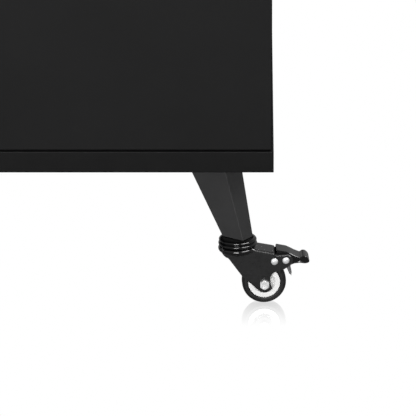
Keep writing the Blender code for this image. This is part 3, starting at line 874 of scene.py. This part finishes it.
def makeWheelCore():
    # a moulded core: bore, hub, dish and a flat rim, the same on both sides
    rim, face = seat - gap, wheel["treadHalfWidth"] - wheel["faceInset"]
    bore, hub, reach = wheel["boreRadius"], wheel["hubRadius"], wheel["hubReach"]
    dish, edge, floor = wheel["dishRadius"], wheel["dishRimRadius"], face - wheel["dishDepth"]
    half = [(bore, reach - 0.0003), (bore + 0.0003, reach)]
    half += [(hub - 0.0007, reach), (hub - 0.0002, reach - 0.0002), (hub, reach - 0.0007)]
    half += [(hub + 0.0002, floor + 0.0010), (hub + 0.0006, floor + 0.0003)]
    half += [(dish, floor), (dish + 0.0006, floor + 0.0003)]
    half += [(edge - 0.0004, face - 0.0004), (edge, face - 0.0001), (edge + 0.0005, face)]
    half += [(rim - 0.0006, face), (rim - 0.0001, face - 0.0002), (rim, face - 0.0007)]
    rings = mirrored(half)
    core = turned("core", rings + rings[:1], 96, axle)
    evenShading(core, 40)
    core.data.materials.append(whiteNylon)
    handOut(core, "wheel_core")


def makeTread():
    # a rounded tyre with a fine groove round each side
    r, side = wheelRadius, wheel["treadHalfWidth"]
    half = [(seat, side - 0.0010), (seat + 0.0003, side - 0.0004), (seat + 0.0010, side - 0.0001)]
    half += [(r - 0.0033, side), (r - 0.0028, side - 0.0002), (r - 0.0026, side - 0.0004)]
    half += [(r - 0.0024, side - 0.0003), (r - 0.0018, side - 0.0007), (r - 0.0011, side - 0.0014)]
    half += [(r - 0.0005, side - 0.0025), (r - 0.0001, side - 0.0040), (r, side - 0.0058)]
    rings = mirrored(half)
    tread = turned("tread", rings + rings[:1], 120, axle)
    evenShading(tread, 40)
    tread.data.materials.append(treadRubber)
    handOut(tread, "tread")


rivet = {"radius": 0.0018, "headRadius": 0.0040, "headHeight": 0.0016}


def makeRivets():
    # domed at both ends; each dome's rings are shares of its radius and height
    r, h = rivet["headRadius"], rivet["headHeight"]
    dome = ((0, 1), (0.30, 0.97), (0.55, 0.86), (0.76, 0.66), (0.91, 0.42), (0.99, 0.16), (1, 0))
    half = [(r * wide, cheekFace + h * tall) for wide, tall in dome] + [(rivet["radius"], cheekFace)]
    for name, spot in (("pivot", pivot), ("stop", stop)):
        piece = turned(name, mirrored(half), 36, spot)
        evenShading(piece, 60)
        piece.data.materials.append(brightZinc)
        handOut(piece, f"brake_{name}_rivet", corners[:2])


pedal = {
    "halfWidth": 0.0112,
    "edge": 0.0009,
    "cornerReach": 0.0013,
    "hollowDepth": 0.0005,  # the shallow hollow in each side of the toe
    "hollowFloor": (0.77, 1, 0.42),  # its floor, as a share of its rim
    "hollowMiddle": (0.0325, -0.0002),
    "travel": 10,  # degrees
    "slotHalfWidth": 0.0024,  # of the curved slot that passes the stop rivet
    "pocket": ((0.0145, -0.0072), (0.0185, -0.0037)),  # where the spring tongue is held
    "springHalfWidth": 0.0030,
    "springEdge": 0.0004,
}


def toeHollow(outer):
    # a shallow tapered cutter for one side of the toe
    points = offset(pivot, (0.0262, -0.0028), (0.0300, -0.0026), (0.0345, -0.0033), (0.0376, -0.0029),
                    (0.0388, -0.0018), (0.0389, -0.0006), (0.0374, 0.0019), (0.0347, 0.0039),
                    (0.0322, 0.0037), (0.0304, 0.0014), (0.0262, 0.0030))
    floor = outer - math.copysign(pedal["hollowDepth"], outer)
    piece = plate("hollow", softCorners(points, 0.0008, 16), min(outer, floor), max(outer, floor))
    startEdit(piece, "VERT")
    pick(piece, "verts", lambda v: abs(v.co.y - floor) < 0.00001)
    across, up = pedal["hollowMiddle"]
    center = (pivot[0] + across, floor, pivot[1] + up)
    bpy.ops.transform.resize(value=pedal["hollowFloor"], center_override=center)
    bpy.ops.mesh.select_all(action="DESELECT")
    pick(piece, "faces", lambda f: abs(f.calc_center_median().y - outer) < 0.00001)
    bpy.ops.mesh.extrude_region_move(TRANSFORM_OT_translate={"value": (0, math.copysign(0.002, outer), 0)})
    endEdit()
    return piece


def makePedal():
    # a moulded lever: a sloped tread plate that ends in a raised, rounded toe
    points = [(0.0027, 0.0126), (0.0015, 0.0038)]
    points += arc((0, 0), 0.0036, 150, 300, 10)
    points += [(0.0090, -0.0060), (0.0180, -0.0060), (0.0230, -0.0040), (0.0290, -0.0035)]
    points += [(0.0345, -0.0043), (0.0380, -0.0039), (0.0397, -0.0027), (0.0400, -0.0008)]
    points += [(0.0382, 0.0026), (0.0350, 0.0049), (0.0317, 0.0047), (0.0298, 0.0027)]
    points += [(0.0230, 0.0056), (0.0190, 0.0079), (0.0140, 0.0103)]
    points = softCorners(offset(pivot, *points), pedal["cornerReach"], 16)
    half = pedal["halfWidth"]
    piece = plate("pedal", points, -half, half)
    roundEdges(piece, pedal["edge"], 3, 60)
    for outer in (-half, half):
        combine(piece, toeHollow(outer), "DIFFERENCE")
    drilled(piece, pivot, rivetHole)
    across, up = stopFromPivot
    reach, turn, width = math.hypot(across, up), math.degrees(math.atan2(up, across)), pedal["slotHalfWidth"]
    spare = math.degrees(width / reach)
    start, end = turn - spare, turn + pedal["travel"] + spare
    slotLine = arc(pivot, reach + width, start, end, 12) + arc(pivot, reach - width, end, start, 12)
    combine(piece, plate("stopSlot", slotLine, -0.02, 0.02), "DIFFERENCE")
    (lowX, lowZ), (highX, highZ) = offset(pivot, *pedal["pocket"])
    lowX, highX, highZ = lowX - gap, highX + gap, highZ + gap
    size = (highX - lowX, 2 * (pedal["springHalfWidth"] + gap), highZ - lowZ)
    combine(piece, block("pocket", ((lowX + highX) / 2, 0, (lowZ + highZ) / 2), size), "DIFFERENCE")
    evenShading(piece, 16.5)
    piece.data.materials.append(pedalPaint)
    handOut(piece, "brake_pedal", corners[:2])


def makeSpring():
    # the toothed steel tongue under the pedal, which points at the tread
    points = [(0.0185, -0.0037), (0.0145, -0.0037), (0.0145, -0.0112)]
    for tooth in range(3):
        root = (0.0150 + 0.0010 * tooth, -0.0140 - 0.0025 * tooth)
        points += offset(root, (0, 0), (0.0018, -0.0008))
    points += [(0.0196, -0.0219), (0.0202, -0.0172), (0.0190, -0.0112)]
    half = pedal["springHalfWidth"]
    piece = plate("spring", softCorners(offset(pivot, *points), 0.0004, 30, 2), -half, half)
    roundEdges(piece, pedal["springEdge"], 2, 60)
    evenShading(piece, 30)
    piece.data.materials.append(springSteel)
    handOut(piece, "brake_spring", corners[:2])


makeRace()
makeBallRing()
for locking in (True, False):
    makeFork(locking)
print("races and forks made")
makeBolt()
makeNut()
makeSleeve()
makeWheelCore()
makeTread()
print("axles and wheels made")
makeRivets()
makePedal()
makeSpring()
print("brakes made")


studio = {
    "floorSize": 600,
    "floorGlow": 1.0,
    "polishReach": 0.085,  # how far round a front wheel the floor mirrors
    "polishFrom": (0.006, -0.008),  # where the mirror starts and is full, seen from the front axles
    "polish": 0.92,
    "polishRoughness": 0.05,
    "feltFloor": (0.20, 0.20, 0.20, 1),
    "skyLow": 0.38,
    "skyHigh": 0.26,
    "cardPlace": (0.075, 0.0295),  # behind the middle, and under the base
    "cardDepth": 0.18,
}
lights = {
    "front": {"place": (-0.20, -3.28, 0.95), "size": (1.6, 0.5), "power": 88, "gives": "light and glints"},
    "right": {"place": (1.93, -1.30, 2.10), "size": (2.2, 0.40), "power": 60, "gives": "glints"},
    "rearLeft": {"place": (-1.90, 2.60, 1.20), "size": (1.4, 1.0), "power": 120, "gives": "light"},
    "rearRight": {"place": (1.60, 3.00, 1.20), "size": (1.4, 1.0), "power": 120, "gives": "light"},
}
view = {
    "distance": 16.0,
    "elevation": math.radians(20),
    "frameWidth": 0.4700,
    "aimFromRight": 0.0742,
    "aimBelowBase": 0.0424,
    "sensor": 36.0,
}


def stagePlane(name, place, size, seen):
    # a flat sheet of the stage; seen says what it shows to: the camera, light or mirror images
    clearSelection()
    bpy.ops.mesh.primitive_plane_add(size=1, location=place)
    plane = bpy.context.object
    plane.name = name
    plane.scale = (size[0], size[1], 1)
    applyPlace(plane)
    plane.visible_camera = "camera" in seen
    plane.visible_diffuse = "light" in seen
    plane.visible_glossy = "mirror" in seen
    plane.visible_transmission = "light" in seen
    plane.visible_shadow = False
    paint = bpy.data.materials.new(name)
    paint.use_nodes = True
    plane.data.materials.append(paint)
    return paint.node_tree


def makeFloor():
    # the floor that is seen: even white, polished in front of the front wheels
    tree = stagePlane("floor", (0, 0, 0), (studio["floorSize"],) * 2, ("camera",))
    nodes, links = tree.nodes, tree.links
    nodes.remove(nodes["Principled BSDF"])
    places = nodes.new("ShaderNodeTexCoord")

    def both(operation, first, second):
        made = nodes.new("ShaderNodeMath")
        made.operation = operation
        links.new(first, made.inputs[0])
        links.new(second, made.inputs[1])
        return made.outputs["Value"]

    rounds = []
    size = 1 / studio["polishReach"]
    for corner in corners[:2]:
        spot = middle(f"tread_{corner}")
        mapping = nodes.new("ShaderNodeMapping")
        mapping.inputs["Scale"].default_value = (size, size, size)
        mapping.inputs["Location"].default_value = (-spot.x * size, -spot.y * size, 0)
        links.new(places.outputs["Object"], mapping.inputs["Vector"])
        fade = nodes.new("ShaderNodeTexGradient")
        fade.gradient_type = "SPHERICAL"
        links.new(mapping.outputs["Vector"], fade.inputs["Vector"])
        rounds.append(fade.outputs["Fac"])
    split = nodes.new("ShaderNodeSeparateXYZ")
    links.new(places.outputs["Object"], split.inputs["Vector"])
    before = nodes.new("ShaderNodeMapRange")
    before.inputs["From Min"].default_value = spot.y + studio["polishFrom"][0]
    before.inputs["From Max"].default_value = spot.y + studio["polishFrom"][1]
    links.new(split.outputs["Y"], before.inputs["Value"])
    near = both("MULTIPLY", both("MAXIMUM", *rounds), before.outputs["Result"])
    glow = nodes.new("ShaderNodeEmission")
    level = nodes.new("ShaderNodeMapRange")
    level.inputs["To Min"].default_value = studio["floorGlow"]
    level.inputs["To Max"].default_value = studio["floorGlow"] - studio["polish"] * studio["skyLow"]
    links.new(near, level.inputs["Value"])
    links.new(level.outputs["Result"], glow.inputs["Strength"])
    mirror = nodes.new("ShaderNodeBsdfGlossy")
    mirror.inputs["Roughness"].default_value = studio["polishRoughness"]
    shine = nodes.new("ShaderNodeMapRange")
    shine.inputs["To Max"].default_value = studio["polish"]
    links.new(near, shine.inputs["Value"])
    links.new(shine.outputs["Result"], mirror.inputs["Color"])
    total = nodes.new("ShaderNodeAddShader")
    links.new(glow.outputs["Emission"], total.inputs[0])
    links.new(mirror.outputs["BSDF"], total.inputs[1])
    links.new(total.outputs["Shader"], nodes["Material Output"].inputs["Surface"])


def makeFeltFloor():
    # the floor that lights the lectern from below: grey, and hidden from the camera
    tree = stagePlane("floorBounce", (0, 0, -0.0005), (studio["floorSize"],) * 2, ("light", "mirror"))
    tree.nodes["Principled BSDF"].inputs["Base Color"].default_value = studio["feltFloor"]
    tree.nodes["Principled BSDF"].inputs["Roughness"].default_value = 1


def makeGlowCard():
    # a glowing card under the base, which only mirror images show: a painted reflection, so the floor mirrors
    # sky-pale where the base's dark underside would be
    low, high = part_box("base_board")
    back, down = studio["cardPlace"]
    tree = stagePlane("card", (0, back, low.z - down), (high.x - low.x, studio["cardDepth"]), ("mirror",))
    # the card glows as bright as the low sky: painted reflection, not a lamp
    glow = tree.nodes.new("ShaderNodeEmission")
    glow.inputs["Strength"].default_value = studio["skyLow"]
    tree.links.new(glow.outputs["Emission"], tree.nodes["Material Output"].inputs["Surface"])


def makeSky():
    # pale all round, a little darker overhead
    sky = bpy.data.worlds.new("studioSky")
    bpy.context.scene.world = sky
    sky.use_nodes = True
    nodes, links = sky.node_tree.nodes, sky.node_tree.links
    places = nodes.new("ShaderNodeTexCoord")
    split = nodes.new("ShaderNodeSeparateXYZ")
    ramp = nodes.new("ShaderNodeValToRGB")
    levels = ((0.0, studio["skyLow"]), (0.45, studio["skyLow"]), (0.65, studio["skyHigh"]))
    while len(ramp.color_ramp.elements) < len(levels):
        ramp.color_ramp.elements.new(0.5)
    for element, (height, level) in zip(ramp.color_ramp.elements, levels):
        element.position = height
        element.color = (level, level, level, 1)
    links.new(places.outputs["Generated"], split.inputs["Vector"])
    links.new(split.outputs["Z"], ramp.inputs["Fac"])
    links.new(ramp.outputs["Color"], nodes["Background"].inputs["Color"])
    white = nodes.new("ShaderNodeBackground")  # what is seen past the floor is as white as the floor
    white.inputs["Color"].default_value = (1, 1, 1, 1)
    white.inputs["Strength"].default_value = studio["floorGlow"]
    path = nodes.new("ShaderNodeLightPath")
    either = nodes.new("ShaderNodeMixShader")
    links.new(path.outputs["Is Camera Ray"], either.inputs["Fac"])
    links.new(nodes["Background"].outputs["Background"], either.inputs[1])
    links.new(white.outputs["Background"], either.inputs[2])
    links.new(either.outputs["Shader"], nodes["World Output"].inputs["Surface"])


def makeLights(aim):
    for name, light in lights.items():
        clearSelection()
        bpy.ops.object.light_add(type="AREA", location=light["place"])
        lamp = bpy.context.object
        lamp.name = name
        lamp.data.shape = "RECTANGLE"
        lamp.data.size, lamp.data.size_y = light["size"]
        lamp.data.energy = light["power"]
        lamp.rotation_euler = (Vector(light["place"]) - aim).to_track_quat("Z", "Y").to_euler()
        lamp.visible_camera = False
        lamp.visible_diffuse = "light" in light["gives"]
        lamp.visible_glossy = "glints" in light["gives"]


def makeCamera(aim):
    clearSelection()
    angle, distance = view["elevation"], view["distance"]
    place = aim + Vector((0, -math.cos(angle), math.sin(angle))) * distance
    bpy.ops.object.camera_add(location=place, rotation=(math.pi / 2 - angle, 0, 0))
    camera = bpy.context.object
    camera.data.sensor_width = view["sensor"]
    camera.data.lens = view["sensor"] * distance / view["frameWidth"]
    camera.data.clip_start = 0.1
    camera.data.clip_end = 2000
    bpy.context.scene.camera = camera


lowBase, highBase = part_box("base_board")
aimSpot = Vector((highBase.x - view["aimFromRight"], lowBase.y, lowBase.z - view["aimBelowBase"]))
makeFloor()
makeFeltFloor()
makeGlowCard()
makeSky()
makeLights(aimSpot)
makeCamera(aimSpot)
bpy.context.scene.view_settings.view_transform = "Standard"
print("floor, light and camera made")

clearSelection()
